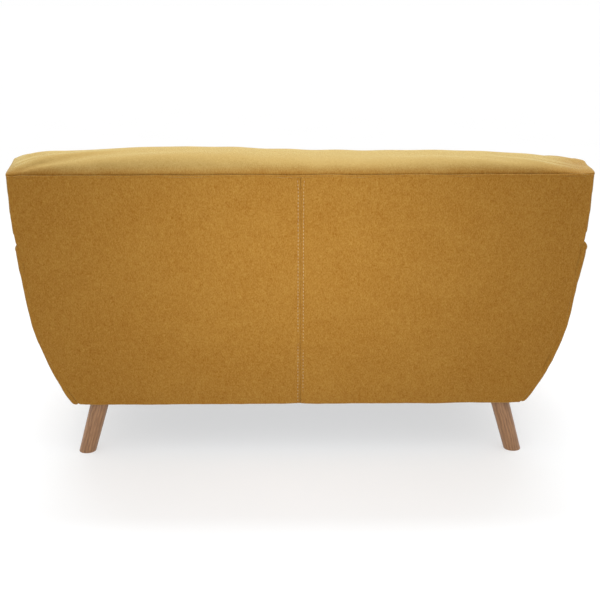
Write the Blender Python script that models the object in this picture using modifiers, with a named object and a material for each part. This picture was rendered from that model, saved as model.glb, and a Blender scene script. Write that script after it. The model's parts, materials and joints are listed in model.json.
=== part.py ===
"""A two-seat upholstered sofa on four splayed wooden legs, taken apart into its real pieces.

The sofa faces -Y and its outside back faces +Y. Left is the sitter's left, at +X. The origin is on the floor
under the middle of the sofa's box. The arms and the base stand upright. Each piece of the back is drawn flat,
with x across, z up the back and y through it from the outside face, and hangs on an empty that stands at the
back's foot and leans it. Seen along Y, the sofa is a bowl: each side is a straight line that leans outwards
and runs down into an arc. Every layer of a side is that line, set in by what lies outside it.
"""
import math

import bmesh
import bpy
import numpy as np
from mathutils import Matrix, Vector

# Driving dimensions, in metres
HALF_WIDTH = 0.750
BASE_Z = 0.143
BACK_FOOT_Y = 0.280
BACK_LEAN = math.radians(10.0)
BACK_SEAM_Z = 0.810
BACK_PAD_DEPTH = 0.155
CROWN_RISE = 0.027
ARM_FRONT_Y = -0.385
ARM_FRONT_TOP_Z = 0.575
ARM_REAR_TOP_Z = 0.620
SEAT_DECK_Z = 0.292
CUSHION_HEIGHT = 0.148
SEAT_HALF_WIDTH = 0.600

# The bowl: the side's straight line leans out, and meets an arc of this radius at the knee
SIDE_LEAN = math.radians(5.75)
BOWL_RADIUS = 0.600
KNEE_X = 0.726
KNEE_Z = 0.427
BOWL_END = math.radians(36.0)
BOWL_STEPS = 11
BACK_SET_IN = 0.0030  # how far the back's side lies inside the arm's

# Thicknesses and clearances
GAP = 0.0003
PADDING = 0.012
ARM_PLY = 0.015
RIB = 0.022
RAIL = 0.025
BACK_RAIL = 0.028
PANEL = 0.004
POST_WIDTH = 0.040
WEB = 0.0014
RAIL_LOW_Z = 0.1455
RAIL_TOP_Z = 0.2495
BASE_REAR_Y = 0.157
SIDE_RAIL = 0.020
SIDE_RAIL_END_Y = 0.2465
STRETCHER_HALF = 0.0125
STRETCHER_TOP_Z = 0.235
TIMBER_EDGE = 0.0015
PAD_EDGE = 0.004
DUST_COVER = 0.0012
DUST_COVER_LIFT = 0.0007
DUST_COVER_REAR_Y = 0.2755

# Legs
LEG_TOP_X = 0.557
LEG_FOOT_X = 0.595
LEG_REAR_Y = 0.235
LEG_FRONT_Y = -0.305
LEG_SPLAY_Y = 0.025
LEG_TOP_RADIUS = 0.025
LEG_FOOT_RADIUS = 0.0225
PLATE_RADIUS = 0.027
PLATE_THICKNESS = 0.004
STUD_RADIUS = 0.004
STUD_HOLE = 0.0046
STUD_LOW_Z = 0.106
BLOCK_TOP_Z = 0.190
BLOCK_INNER_X = 0.530
FRONT_BLOCK_END_Y = -0.270
REAR_BLOCK_END_Y = 0.247

# Springs
SPRINGS = 8
SPRING_RUNS = 22
SPRING_REACH = 0.490
SPRING_HALF_WIDTH = 0.024
SPRING_WIRE = 0.0019
SPRING_CLOTH = 0.0012

# Loose cushions
COVER_WALL = 0.002
COVER_EDGE = 0.018
FOAM_EDGE = 0.016
CUSHION_SIDE_ROOM = 0.006
CUSHION_REAR_ROOM = 0.009
CUSHION_MIDDLE_ROOM = 0.0015
ZIP_SLIT = 0.003
ZIP_END = 0.030

# The back's frame, in places up the back
BACK_FRAME_FOOT = 0.005
BACK_RAIL_TOPS = {"bottom": 0.100, "seat": 0.170}
SEAT_RAIL_FOOT = 0.130
TOP_RAIL_HEIGHT = 0.070
CENTRE_POST_HALF = 0.0225
STRAP_HALF = 0.025
CROWN_SHOULDER = 0.050
CROWN_NOSE = 0.055
OUTSIDE_BACK_HEM = 0.002
OUTSIDE_BACK_TOP_GAP = 0.0035

# Worked out from the dimensions above
COS_LEAN = math.cos(BACK_LEAN)
SIN_LEAN = math.sin(BACK_LEAN)
BACK_HEIGHT = (BACK_SEAM_Z - BASE_Z) / COS_LEAN
FRONT_Y = -(BACK_FOOT_Y + BACK_HEIGHT * SIN_LEAN)
BOWL_X = KNEE_X - BOWL_RADIUS * math.cos(SIDE_LEAN)
BOWL_Z = KNEE_Z + BOWL_RADIUS * math.sin(SIDE_LEAN)
# Above this height the back's side stands upright
BACK_KNEE_Z = KNEE_Z + (HALF_WIDTH - KNEE_X + BACK_SET_IN / math.cos(SIDE_LEAN)) / math.tan(SIDE_LEAN)
FRAME_BACK_DEPTH = PANEL + GAP
FRAME_FRONT_DEPTH = FRAME_BACK_DEPTH + BACK_RAIL
PAD_REAR_DEPTH = FRAME_FRONT_DEPTH + 1.4 * WEB + 2 * GAP
POST_SET_IN = PADDING + 2 * GAP
RIB_FRONT_Y = ARM_FRONT_Y + RAIL
RIB_REAR_Y = RIB_FRONT_Y + RIB
ARM_RAIL_TOP_Z = 0.5453
ARM_RAIL_LOW_Z = ARM_RAIL_TOP_Z - BACK_RAIL
RAIL_HALF_LENGTH = SEAT_HALF_WIDTH - 0.0155
SPRING_Z = RAIL_TOP_Z + 0.0038
CLOTH_Z = RAIL_TOP_Z + 0.0077
DECK_LOW_Z = CLOTH_Z + 0.0015
LEG_TOP_Z = BASE_Z - PLATE_THICKNESS - GAP
STUD_PLACES = [(side * LEG_TOP_X, y) for y in (LEG_FRONT_Y, LEG_REAR_Y) for side in (1, -1)]


# Places on the bowl and on the back


def side_line(inset):
    """The side's line at a given set-in, from the bottom up: heights and half widths."""
    angles = np.linspace(BOWL_END, SIDE_LEAN, BOWL_STEPS)
    radius = BOWL_RADIUS - inset
    z = BOWL_Z - radius * np.sin(angles)
    x = BOWL_X + radius * np.cos(angles)
    top = 1.0
    top_x = x[-1] + (top - z[-1]) * math.tan(SIDE_LEAN)
    return np.append(z, top), np.append(x, top_x)


def side_x(z, inset=0.0):
    return float(np.interp(z, *side_line(inset)))


def side_points(low, high, inset=0.0):
    """Points up the side's line between two heights."""
    heights = [z for z in side_line(inset)[0] if low < z < high]
    return [(side_x(z, inset), z) for z in [low, *heights, high]]


def inner_x(z):
    """The arm's inner face, which leans outwards as it rises, so that a cushion lifts clear of it."""
    return SEAT_HALF_WIDTH + (z - SEAT_DECK_Z) * math.tan(SIDE_LEAN)


def inner_points(low, high):
    """Points down the arm's inner face."""
    return [(inner_x(high), high), (inner_x(low), low)]


def back_y(z, depth=0.0):
    """Where the plane at a depth inside the outside back stands, at a height above the floor."""
    return BACK_FOOT_Y + (z - BASE_Z) * math.tan(BACK_LEAN) - depth / COS_LEAN


def up_back(z, depth=0.0):
    """How far up the back a height above the floor lies, at a depth inside the outside back."""
    return (z - BASE_Z - depth * SIN_LEAN) / COS_LEAN


def back_x(up, inset=0.0):
    """The half width of the back at a place up its outside face. Its top stretch stands upright."""
    z = BASE_Z + up * COS_LEAN
    return min(side_x(z, BACK_SET_IN + inset), HALF_WIDTH - inset)


def back_steps(low, high):
    """Places up the back at which its side changes direction, with both ends."""
    corners = [up_back(z) for z in (*side_line(0.0)[0][:-1], BACK_KNEE_Z)]
    return [low, *(up for up in corners if low < up < high), high]


def arm_top(y):
    """The arm's top, which falls in a straight line from the back to the front."""
    slope = (ARM_REAR_TOP_Z - ARM_FRONT_TOP_Z) / (back_y(ARM_REAR_TOP_Z) - ARM_FRONT_Y)
    return ARM_FRONT_TOP_Z + (y - ARM_FRONT_Y) * slope


# Makers of solids


def finish(name, colour, roughness, metallic=0.0):
    made = bpy.data.materials.new(name)
    made.use_nodes = True
    shader = made.node_tree.nodes["Principled BSDF"]
    shader.inputs["Base Color"].default_value = (*colour, 1.0)
    shader.inputs["Roughness"].default_value = roughness
    shader.inputs["Metallic"].default_value = metallic
    made.diffuse_color = (*colour, 1.0)
    return made


def place(name, mesh, colour, parent=None):
    """Puts a mesh in the sofa's collection as a named piece."""
    piece = bpy.data.objects.new(name, mesh)
    mesh.materials.append(FINISHES[colour])
    SOFA.objects.link(piece)
    piece.parent = parent
    return piece


def cutter(name, mesh, parent=None):
    tool = bpy.data.objects.new(name, mesh)
    CUTTERS.objects.link(tool)
    tool.parent = parent
    tool.display_type = "WIRE"
    tool.hide_render = True
    return tool


def cut(piece, tool, operation="DIFFERENCE"):
    made = piece.modifiers.new(tool.name, "BOOLEAN")
    made.object = tool
    made.operation = operation


def soften(piece, width, segments=1):
    made = piece.modifiers.new("soften", "BEVEL")
    made.width = width
    made.segments = segments
    made.limit_method = "ANGLE"
    made.angle_limit = math.radians(40.0)


def mesh_from(work, name):
    work.normal_update()
    bmesh.ops.recalc_face_normals(work, faces=work.faces)
    mesh = bpy.data.meshes.new(name)
    work.to_mesh(mesh)
    work.free()
    return mesh


def boxes(name, corners):
    """A mesh of separate boxes, each given by its lowest and highest corner."""
    work = bmesh.new()
    for low, high in corners:
        low = Vector(low)
        high = Vector(high)
        size = Matrix.Diagonal((*(high - low), 1.0))
        bmesh.ops.create_cube(work, size=1.0, matrix=Matrix.Translation((low + high) / 2) @ size)
    return mesh_from(work, name)


def cylinders(name, feet, low, high, radius, sides=16):
    """A mesh of separate upright cylinders."""
    work = bmesh.new()
    for x, y in feet:
        middle = Matrix.Translation((x, y, (low + high) / 2))
        bmesh.ops.create_cone(
            work, cap_ends=True, segments=sides, radius1=radius, radius2=radius, depth=high - low, matrix=middle
        )
    return mesh_from(work, name)


def welded_mesh(name, curve):
    """The mesh of a curve, with its loose caps joined to its sides. The curve is removed."""
    drawn = bpy.data.objects.new(name, curve)
    CUTTERS.objects.link(drawn)
    graph = bpy.context.evaluated_depsgraph_get()
    mesh = bpy.data.meshes.new_from_object(drawn.evaluated_get(graph))
    bpy.data.objects.remove(drawn)
    bpy.data.curves.remove(curve)
    work = bmesh.new()
    work.from_mesh(mesh)
    bpy.data.meshes.remove(mesh)
    bmesh.ops.remove_doubles(work, verts=work.verts, dist=0.00001)
    return mesh_from(work, name)


def slab(name, outline, low, high, across="y"):
    """A flat outline as a filled 2D curve with thickness, made a mesh.

    The outline lies in x and z and the thickness runs along y, or with across="x" it lies in y and z.
    """
    curve = bpy.data.curves.new(name, "CURVE")
    curve.dimensions = "2D"
    curve.fill_mode = "BOTH"
    curve.extrude = (high - low) / 2
    line = curve.splines.new("POLY")
    line.points.add(len(outline) - 1)
    for point, (u, v) in zip(line.points, outline):
        point.co = (u, v, 0.0, 1.0)
    line.use_cyclic_u = True
    work = bmesh.new()
    flat = welded_mesh(name, curve)
    work.from_mesh(flat)
    bpy.data.meshes.remove(flat)
    middle = (low + high) / 2
    for vertex in work.verts:
        u, v, w = vertex.co
        vertex.co = (u, middle + w, v) if across == "y" else (middle + w, u, v)
    return mesh_from(work, name)


def loft(name, front, rear):
    """A solid between two sections with as many points each: a face on either end, and a strip round them."""
    work = bmesh.new()
    rings = [[work.verts.new(point) for point in section] for section in (front, rear)]
    for ring in rings:
        work.faces.new(ring)
    for here in range(len(front)):
        there = (here + 1) % len(front)
        work.faces.new((rings[0][here], rings[0][there], rings[1][there], rings[1][here]))
    return mesh_from(work, name)


def mirrored(mesh, name):
    """The same mesh on the sofa's right."""
    work = bmesh.new()
    work.from_mesh(mesh)
    bmesh.ops.scale(work, vec=(-1.0, 1.0, 1.0), verts=work.verts)
    return mesh_from(work, name)


def place_pair(name, mesh, colour, parent=None):
    """A piece on the left and its mirror image on the right."""
    right = mirrored(mesh, name + "_right")
    return [
        place(name + "_left", mesh, colour, parent),
        place(name + "_right", right, colour, parent),
    ]


# Base


def make_base():
    front_y = RIB_FRONT_Y
    inside_front_y = front_y + RAIL + GAP
    rear_y = BASE_REAR_Y
    reach = RAIL_HALF_LENGTH
    half = STRETCHER_HALF
    rails = {
        "base_front_rail": ((-reach, front_y, RAIL_LOW_Z), (reach, front_y + RAIL, RAIL_TOP_Z)),
        "base_rear_rail": ((-reach, rear_y, RAIL_LOW_Z), (reach, rear_y + RAIL, RAIL_TOP_Z)),
        "base_centre_stretcher": ((-half, inside_front_y, RAIL_LOW_Z), (half, rear_y - GAP, STRETCHER_TOP_Z)),
    }
    for name, (low, high) in rails.items():
        soften(place(name, boxes(name, [(low, high)]), "timber"), TIMBER_EDGE)
    side_low = (reach + GAP, RIB_REAR_Y + GAP, RAIL_LOW_Z)
    side_high = (reach + GAP + SIDE_RAIL, SIDE_RAIL_END_Y, RAIL_TOP_Z)
    for rail in place_pair("base_side_rail", boxes("base_side_rail", [(side_low, side_high)]), "timber"):
        soften(rail, TIMBER_EDGE)
    spans = {"front": (inside_front_y, FRONT_BLOCK_END_Y), "rear": (rear_y + RAIL + GAP, REAR_BLOCK_END_Y)}
    holes = cylinders("stud_holes_in_frame", STUD_PLACES, LEG_TOP_Z - 0.01, BLOCK_TOP_Z + 0.01, STUD_HOLE)
    hole = cutter("stud_holes_in_frame", holes)
    for end, (low_y, high_y) in spans.items():
        block = boxes("leg_block", [((BLOCK_INNER_X, low_y, RAIL_LOW_Z), (reach - GAP, high_y, BLOCK_TOP_Z))])
        for piece in place_pair(f"leg_block_{end}", block, "timber"):
            cut(piece, hole)
    cloth_z = BASE_Z + DUST_COVER_LIFT
    cloth_x = side_x(cloth_z, PADDING) - 5 * GAP
    cloth_box = ((-cloth_x, RIB_FRONT_Y, cloth_z), (cloth_x, DUST_COVER_REAR_Y, cloth_z + DUST_COVER))
    cut(place("dust_cover", boxes("dust_cover", [cloth_box]), "dust_cloth"), hole)


# Seat


def wire(name, runs, radius):
    """Round wire along each run of points, with flat ends, made a mesh."""
    curve = bpy.data.curves.new(name, "CURVE")
    curve.dimensions = "3D"
    curve.bevel_depth = radius
    curve.bevel_resolution = 0
    curve.use_fill_caps = True
    for run in runs:
        line = curve.splines.new("POLY")
        line.points.add(len(run) - 1)
        for point, place_of in zip(line.points, run):
            point.co = (*place_of, 1.0)
    return welded_mesh(name, curve)


def make_springs():
    """Eight sinuous springs, each a flat zigzag wire between the rails, tied across by two straight wires."""
    front_y = RIB_FRONT_Y + RAIL / 2
    rear_y = BASE_REAR_Y + RAIL / 2
    rows = np.linspace(front_y, rear_y, SPRING_RUNS)
    springs = []
    for middle in np.linspace(-SPRING_REACH, SPRING_REACH, SPRINGS):
        turns = []
        for count, y in enumerate(rows):
            side = SPRING_HALF_WIDTH if count % 2 else -SPRING_HALF_WIDTH
            turns += [(middle + side, y, SPRING_Z), (middle - side, y, SPRING_Z)]
        springs.append(turns)
    reach = SPRING_REACH + SPRING_HALF_WIDTH + 0.010
    between_rows = [(rows[i] + rows[i + 1]) / 2 for i in (SPRING_RUNS // 3, 2 * SPRING_RUNS // 3)]
    ties = [[(-reach, y, SPRING_Z), (reach, y, SPRING_Z)] for y in between_rows]
    piece = place("seat_springs", wire("seat_springs", springs, SPRING_WIRE), "steel")
    cut(piece, cutter("spring_ties", wire("spring_ties", ties, SPRING_WIRE * 0.8)), "UNION")


def make_deck():
    reach = inner_x(CLOTH_Z) - 0.001
    rear_y = back_y(CLOTH_Z, BACK_PAD_DEPTH) - 0.001
    cloth = ((-reach, RIB_FRONT_Y + 0.003, CLOTH_Z), (reach, rear_y, CLOTH_Z + SPRING_CLOTH))
    place("spring_cloth", boxes("spring_cloth", [cloth]), "webbing")
    pad = ((-reach, RIB_FRONT_Y + 0.001, DECK_LOW_Z), (reach, rear_y, SEAT_DECK_Z))
    place("seat_deck_pad", boxes("seat_deck_pad", [pad]), "cover")
    low = BASE_Z + GAP
    high = SEAT_DECK_Z - GAP
    left = [(inner_x(low) - GAP, low), (inner_x(high) - GAP, high)]
    outline = left + [(-x, z) for x, z in reversed(left)]
    apron = place("front_apron", slab("front_apron", outline, ARM_FRONT_Y + 0.003, RIB_FRONT_Y - GAP), "cover")
    soften(apron, PAD_EDGE)


def make_cushions():
    """Each loose cushion is a foam core in a cover, which is open along a zip slit low on its rear side."""
    rear_y = back_y(SEAT_DECK_Z, BACK_PAD_DEPTH) - CUSHION_REAR_ROOM
    low = Vector((CUSHION_MIDDLE_ROOM, FRONT_Y, SEAT_DECK_Z + GAP))
    high = Vector((SEAT_HALF_WIDTH - CUSHION_SIDE_ROOM, rear_y, SEAT_DECK_Z + CUSHION_HEIGHT))
    wall = Vector((COVER_WALL, COVER_WALL, COVER_WALL))
    fit = Vector((GAP, GAP, GAP))
    slit_low = Vector((low.x + ZIP_END, high.y - 4 * ZIP_SLIT, low.z + 4 * ZIP_SLIT))
    slit_high = Vector((high.x - ZIP_END, high.y + 4 * ZIP_SLIT, low.z + 5 * ZIP_SLIT))
    inside = boxes("cushion_inside", [(low + wall, high - wall)])
    slit = boxes("cushion_slit", [(slit_low, slit_high)])
    tools = [
        cutter("cushion_inside_left", inside),
        cutter("cushion_inside_right", mirrored(inside, "cushion_inside_right")),
    ]
    slits = [
        cutter("cushion_slit_left", slit),
        cutter("cushion_slit_right", mirrored(slit, "cushion_slit_right")),
    ]
    for tool in tools:
        soften(tool, FOAM_EDGE, 3)
    covers = place_pair("seat_cushion_cover", boxes("seat_cushion_cover", [(low, high)]), "cover")
    for cover, tool, opening in zip(covers, tools, slits):
        soften(cover, COVER_EDGE, 3)
        cut(cover, tool)
        cut(cover, opening)
    cores = boxes("seat_cushion_foam", [(low + wall + fit, high - wall - fit)])
    for core in place_pair("seat_cushion_foam", cores, "foam"):
        soften(core, FOAM_EDGE, 3)


# Back. These pieces hang on the leaning empty


def make_back_frame(lean):
    foot = BACK_FRAME_FOOT
    head = BACK_HEIGHT - BACK_FRAME_FOOT
    front = -FRAME_FRONT_DEPTH
    rear = -FRAME_BACK_DEPTH
    ups = back_steps(foot, head)
    outer = [(back_x(up, POST_SET_IN), up) for up in ups]
    inner = [(back_x(up, POST_SET_IN + POST_WIDTH), up) for up in reversed(ups)]
    place_pair("back_post", slab("back_post", outer + inner, front, rear), "timber", lean)
    rails = {
        "back_bottom_rail": (foot, BACK_RAIL_TOPS["bottom"]),
        "back_seat_rail": (SEAT_RAIL_FOOT, BACK_RAIL_TOPS["seat"]),
        "back_top_rail": (head - TOP_RAIL_HEIGHT, head),
    }
    for name, (low, high) in rails.items():
        reach = back_x(low, POST_SET_IN + POST_WIDTH) - GAP
        rail = boxes(name, [((-reach, front, low), (reach, rear, high))])
        soften(place(name, rail, "timber", lean), TIMBER_EDGE)
    low = rails["back_seat_rail"][1] + GAP
    high = rails["back_top_rail"][0] - GAP
    post = boxes("back_centre_post", [((-CENTRE_POST_HALF, front, low), (CENTRE_POST_HALF, rear, high))])
    soften(place("back_centre_post", post, "timber", lean), TIMBER_EDGE)
    return low, high


def make_webbing(lean, low, high):
    """A net of elastic straps: five up the rails, and three across to the posts, stapled where they cross."""
    half = STRAP_HALF
    front = -FRAME_FRONT_DEPTH - GAP
    upright = [
        ((x - half, front - WEB, low - 0.030), (x + half, front, high + 0.040))
        for x in np.linspace(-0.46, 0.46, 5)
    ]
    across = []
    for up in np.linspace(low + 0.08, high - 0.06, 3):
        reach = back_x(up, POST_SET_IN) - 0.004
        across.append(((-reach, front - 1.4 * WEB, up - half), (reach, front - 0.4 * WEB, up + half)))
    net = place("back_webbing", boxes("back_webbing", upright), "webbing", lean)
    cut(net, cutter("webbing_across", boxes("webbing_across", across), lean), "UNION")


def crown_section():
    """The inside back's section, y by z up the back: quarter round over the seam, level top, round nose."""
    seam = BACK_HEIGHT + GAP
    steps = np.radians(np.linspace(0.0, 90.0, 6))
    shoulder = CROWN_SHOULDER
    nose = CROWN_NOSE
    top = seam + CROWN_RISE
    rear = [(-shoulder + shoulder * math.cos(a), seam + CROWN_RISE * math.sin(a)) for a in steps]
    front = [(-BACK_PAD_DEPTH + nose - nose * math.sin(a), top - nose + nose * math.cos(a)) for a in steps]
    foot = [
        (-BACK_PAD_DEPTH, up_back(DECK_LOW_Z, BACK_PAD_DEPTH)),
        (-PAD_REAR_DEPTH, up_back(DECK_LOW_Z, PAD_REAR_DEPTH)),
        (-PAD_REAR_DEPTH, seam),
    ]
    return rear + front + foot


def make_inside_back(lean, arm_spaces):
    """A thick pad over the whole back. It is a T: full width above the arms, and between them below."""
    section = crown_section()
    pad = place(
        "inside_back_pad",
        slab("inside_back_pad", section, -HALF_WIDTH - 0.05, HALF_WIDTH + 0.05, across="x"),
        "cover",
        lean,
    )
    ups = back_steps(0.0, BACK_HEIGHT + CROWN_RISE + 0.02)
    left = [(back_x(up), up) for up in ups]
    outline = left + [(-x, up) for x, up in reversed(left)]
    tool = cutter("back_outline", slab("back_outline", outline, -0.30, 0.10), lean)
    cut(pad, tool, "INTERSECT")
    for space in arm_spaces:
        cut(pad, space)


def make_outside_back(lean):
    """Two flat halves that meet at the middle seam, and the welt along their top."""
    top = BACK_HEIGHT - OUTSIDE_BACK_TOP_GAP
    notch = up_back(ARM_REAR_TOP_Z)
    hem = OUTSIDE_BACK_HEM
    inset = PADDING + GAP
    side = [(side_x(BASE_Z + up * COS_LEAN, inset), up) for up in back_steps(hem, notch)]
    side += [(back_x(up, inset), up) for up in back_steps(notch, top)]
    outline = [(GAP, hem), *side, (GAP, top)]
    place_pair("outside_back", slab("outside_back", outline, -PANEL, 0.0), "cover", lean)
    reach = HALF_WIDTH - PADDING - GAP
    welt = boxes("back_top_welt", [((-reach, -PANEL, top + GAP), (reach, 0.0, BACK_HEIGHT))])
    place("back_top_welt", welt, "cover", lean)


def make_back_sides(lean):
    """The thin padded strips on the back's sides, above the arms."""
    low = up_back(ARM_REAR_TOP_Z) + 3 * GAP
    high = BACK_HEIGHT
    ups = back_steps(low, high)
    outer = [(back_x(up), up) for up in ups]
    inner = [(back_x(up, PADDING), up) for up in reversed(ups)]
    strip = slab("back_side_pad", outer + inner, -PAD_REAR_DEPTH + GAP, -GAP)
    place_pair("back_side_pad", strip, "cover", lean)


# Arms. Each layer is drawn in the section across the sofa, and runs from the front to the back's plane


def arm_layer(name, outline, front_y, rear_depth, colour):
    """Lofts one section of the arm. A point marked None in height lies on the arm's sloping top."""
    front_top = arm_top(front_y)
    rear_top = arm_top(back_y(ARM_REAR_TOP_Z, rear_depth))
    front = []
    rear = []
    for x, height in outline:
        front_z = height if height else front_top
        rear_z = height if height else rear_top
        front.append((x(front_z), front_y, front_z))
        rear.append((x(rear_z), back_y(rear_z, rear_depth), rear_z))
    return place_pair(name, loft(name, front, rear), colour)


def set_in(inset):
    return lambda z: side_x(z, inset)


def between(outer, inner, low, high):
    """A layer's outline: up one side's line from low to high, then down another. High may be None, the top."""
    bend = high if high else ARM_FRONT_TOP_Z
    up = [(set_in(outer), z) for z in [low, *(z for z in side_line(outer)[0] if low < z < bend), high]]
    if inner is None:
        return up + [(inner_x, high), (inner_x, low)]
    heights = [z for z in side_line(inner)[0] if low < z < bend]
    return up + [(set_in(inner), z) for z in [high, *reversed(heights), low]]


def make_arms():
    behind = PAD_REAR_DEPTH
    skin = PADDING + GAP
    core = skin + ARM_PLY
    low = RAIL_TOP_Z + 0.003
    rail_low = ARM_RAIL_LOW_Z
    start = RIB_REAR_Y + GAP
    arm_layer("arm_outer_pad", between(0.0, PADDING, BASE_Z, None), RIB_FRONT_Y, GAP, "cover")
    arm_layer("arm_core", between(skin, core, 0.200, rail_low - GAP), start, behind, "plywood")
    arm_layer("arm_inner_pad", between(core + GAP, None, low, rail_low - GAP), start, behind, "foam")
    arm_layer("arm_top_rail", between(skin, None, rail_low, ARM_RAIL_TOP_Z), RIB_FRONT_Y, behind, "timber")
    arm_layer("arm_top_pad", between(skin, None, ARM_RAIL_TOP_Z + GAP, None), RIB_FRONT_Y, behind, "cover")
    make_arm_fronts(skin, rail_low, low)


def make_arm_fronts(skin, rail_low, low):
    """The plywood rib at each arm's front end, and the padded facing that covers it."""
    inside = RAIL_HALF_LENGTH + GAP
    outer = side_points(RAIL_LOW_Z, rail_low - GAP, skin)
    rib = [(inside, RAIL_LOW_Z), *outer, *inner_points(low, rail_low - GAP), (inside, low)]
    place_pair("arm_front_rib", slab("arm_front_rib", rib, RIB_FRONT_Y, RIB_REAR_Y), "plywood")
    outline = side_points(BASE_Z, ARM_FRONT_TOP_Z) + inner_points(BASE_Z, ARM_FRONT_TOP_Z)
    facing = slab("arm_front_facing", outline, ARM_FRONT_Y, RIB_FRONT_Y - GAP)
    for piece in place_pair("arm_front_facing", facing, "cover"):
        soften(piece, PAD_EDGE)


def make_arm_spaces():
    """The room that the arms take out of the inside back, as cutters."""
    far_x = HALF_WIDTH + 0.20
    spaces = []
    for side, word in ((1, "left"), (-1, "right")):
        sections = []
        for y in (-0.20, 0.50):
            top = arm_top(y) + GAP
            corners = [(inner_x(0.10) - GAP, 0.10), (far_x, 0.10), (far_x, top), (inner_x(top) - GAP, top)]
            sections.append([(side * x, y, z) for x, z in corners])
        name = "arm_space_" + word
        spaces.append(cutter(name, loft(name, *sections)))
    return spaces


# Legs


def make_leg(name, side, front_or_rear, hole):
    """A tapered cone that leans out to its foot, trimmed level at the floor and under its plate."""
    y = LEG_REAR_Y if front_or_rear == "rear" else LEG_FRONT_Y
    splay = LEG_SPLAY_Y if front_or_rear == "rear" else -LEG_SPLAY_Y
    top = Vector((side * LEG_TOP_X, y, LEG_TOP_Z))
    foot = Vector((side * LEG_FOOT_X, y + splay, 0.0))
    along = (top - foot).normalized()
    spare = 0.020
    taper = (LEG_TOP_RADIUS - LEG_FOOT_RADIUS) / (top - foot).length
    turn = along.to_track_quat("Z", "Y").to_matrix().to_4x4()
    work = bmesh.new()
    bmesh.ops.create_cone(
        work,
        cap_ends=True,
        segments=32,
        radius1=LEG_FOOT_RADIUS - taper * spare,
        radius2=LEG_TOP_RADIUS + taper * spare,
        depth=(top - foot).length + 2 * spare,
    )
    piece = place(name, mesh_from(work, name), "leg_wood")
    piece.matrix_world = Matrix.Translation((top + foot) / 2) @ turn
    cut(piece, bpy.data.objects["leg_trim"], "INTERSECT")
    cut(piece, hole)


def make_legs():
    trim = boxes("leg_trim", [((-0.8, -0.5, 0.0), (0.8, 0.5, LEG_TOP_Z))])
    cutter("leg_trim", trim)
    holes = cylinders("stud_holes_in_legs", STUD_PLACES, STUD_LOW_Z - 0.002, 0.160, STUD_HOLE)
    hole = cutter("stud_holes_in_legs", holes)
    for end, y in (("front", LEG_FRONT_Y), ("rear", LEG_REAR_Y)):
        for side, word in ((1, "left"), (-1, "right")):
            make_leg(f"leg_{end}_{word}", side, end, hole)
            spot = [(side * LEG_TOP_X, y)]
            plate = cylinders("leg_plate", spot, BASE_Z - PLATE_THICKNESS, BASE_Z, PLATE_RADIUS, 32)
            cut(place(f"leg_plate_{end}_{word}", plate, "black_plastic"), hole)
            stud = cylinders("leg_stud", spot, STUD_LOW_Z, BLOCK_TOP_Z + 0.001, STUD_RADIUS)
            place(f"leg_stud_{end}_{word}", stud, "steel")


def main():
    make_base()
    make_springs()
    make_deck()
    make_cushions()
    lean = bpy.data.objects.new("back_foot", None)
    SOFA.objects.link(lean)
    lean.location = (0.0, BACK_FOOT_Y, BASE_Z)
    lean.rotation_euler = (-BACK_LEAN, 0.0, 0.0)
    strap_low, strap_high = make_back_frame(lean)
    make_webbing(lean, strap_low, strap_high)
    make_inside_back(lean, make_arm_spaces())
    make_outside_back(lean)
    make_back_sides(lean)
    make_arms()
    make_legs()


for old in list(bpy.data.objects):
    bpy.data.objects.remove(old)
SOFA = bpy.data.collections.new("sofa_with_wooden_legs")
CUTTERS = bpy.data.collections.new("cutters")
for group in (SOFA, CUTTERS):
    bpy.context.scene.collection.children.link(group)
FINISHES = {
    "cover": finish("cover", (0.479, 0.235, 0.037), 0.90),
    "foam": finish("foam", (0.80, 0.72, 0.48), 0.95),
    "timber": finish("timber", (0.56, 0.38, 0.20), 0.65),
    "plywood": finish("plywood", (0.50, 0.33, 0.17), 0.65),
    "leg_wood": finish("leg_wood", (0.305, 0.165, 0.080), 0.45),
    "steel": finish("steel", (0.55, 0.55, 0.56), 0.40, 0.9),
    "webbing": finish("webbing", (0.055, 0.050, 0.045), 0.90),
    "dust_cloth": finish("dust_cloth", (0.015, 0.015, 0.016), 0.95),
    "black_plastic": finish("black_plastic", (0.012, 0.012, 0.012), 0.55),
}
main()
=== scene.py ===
"""The looks of the two-seat sofa: covers, cushions, stitching, legs, light and camera.

The sofa faces -Y, its outside back faces +Y, and left is the sitter's left, at +X. Pieces of the back are
worked out on the leaning back: x across, up along it from its foot, out through it from the outside face.
"""
import math

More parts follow.
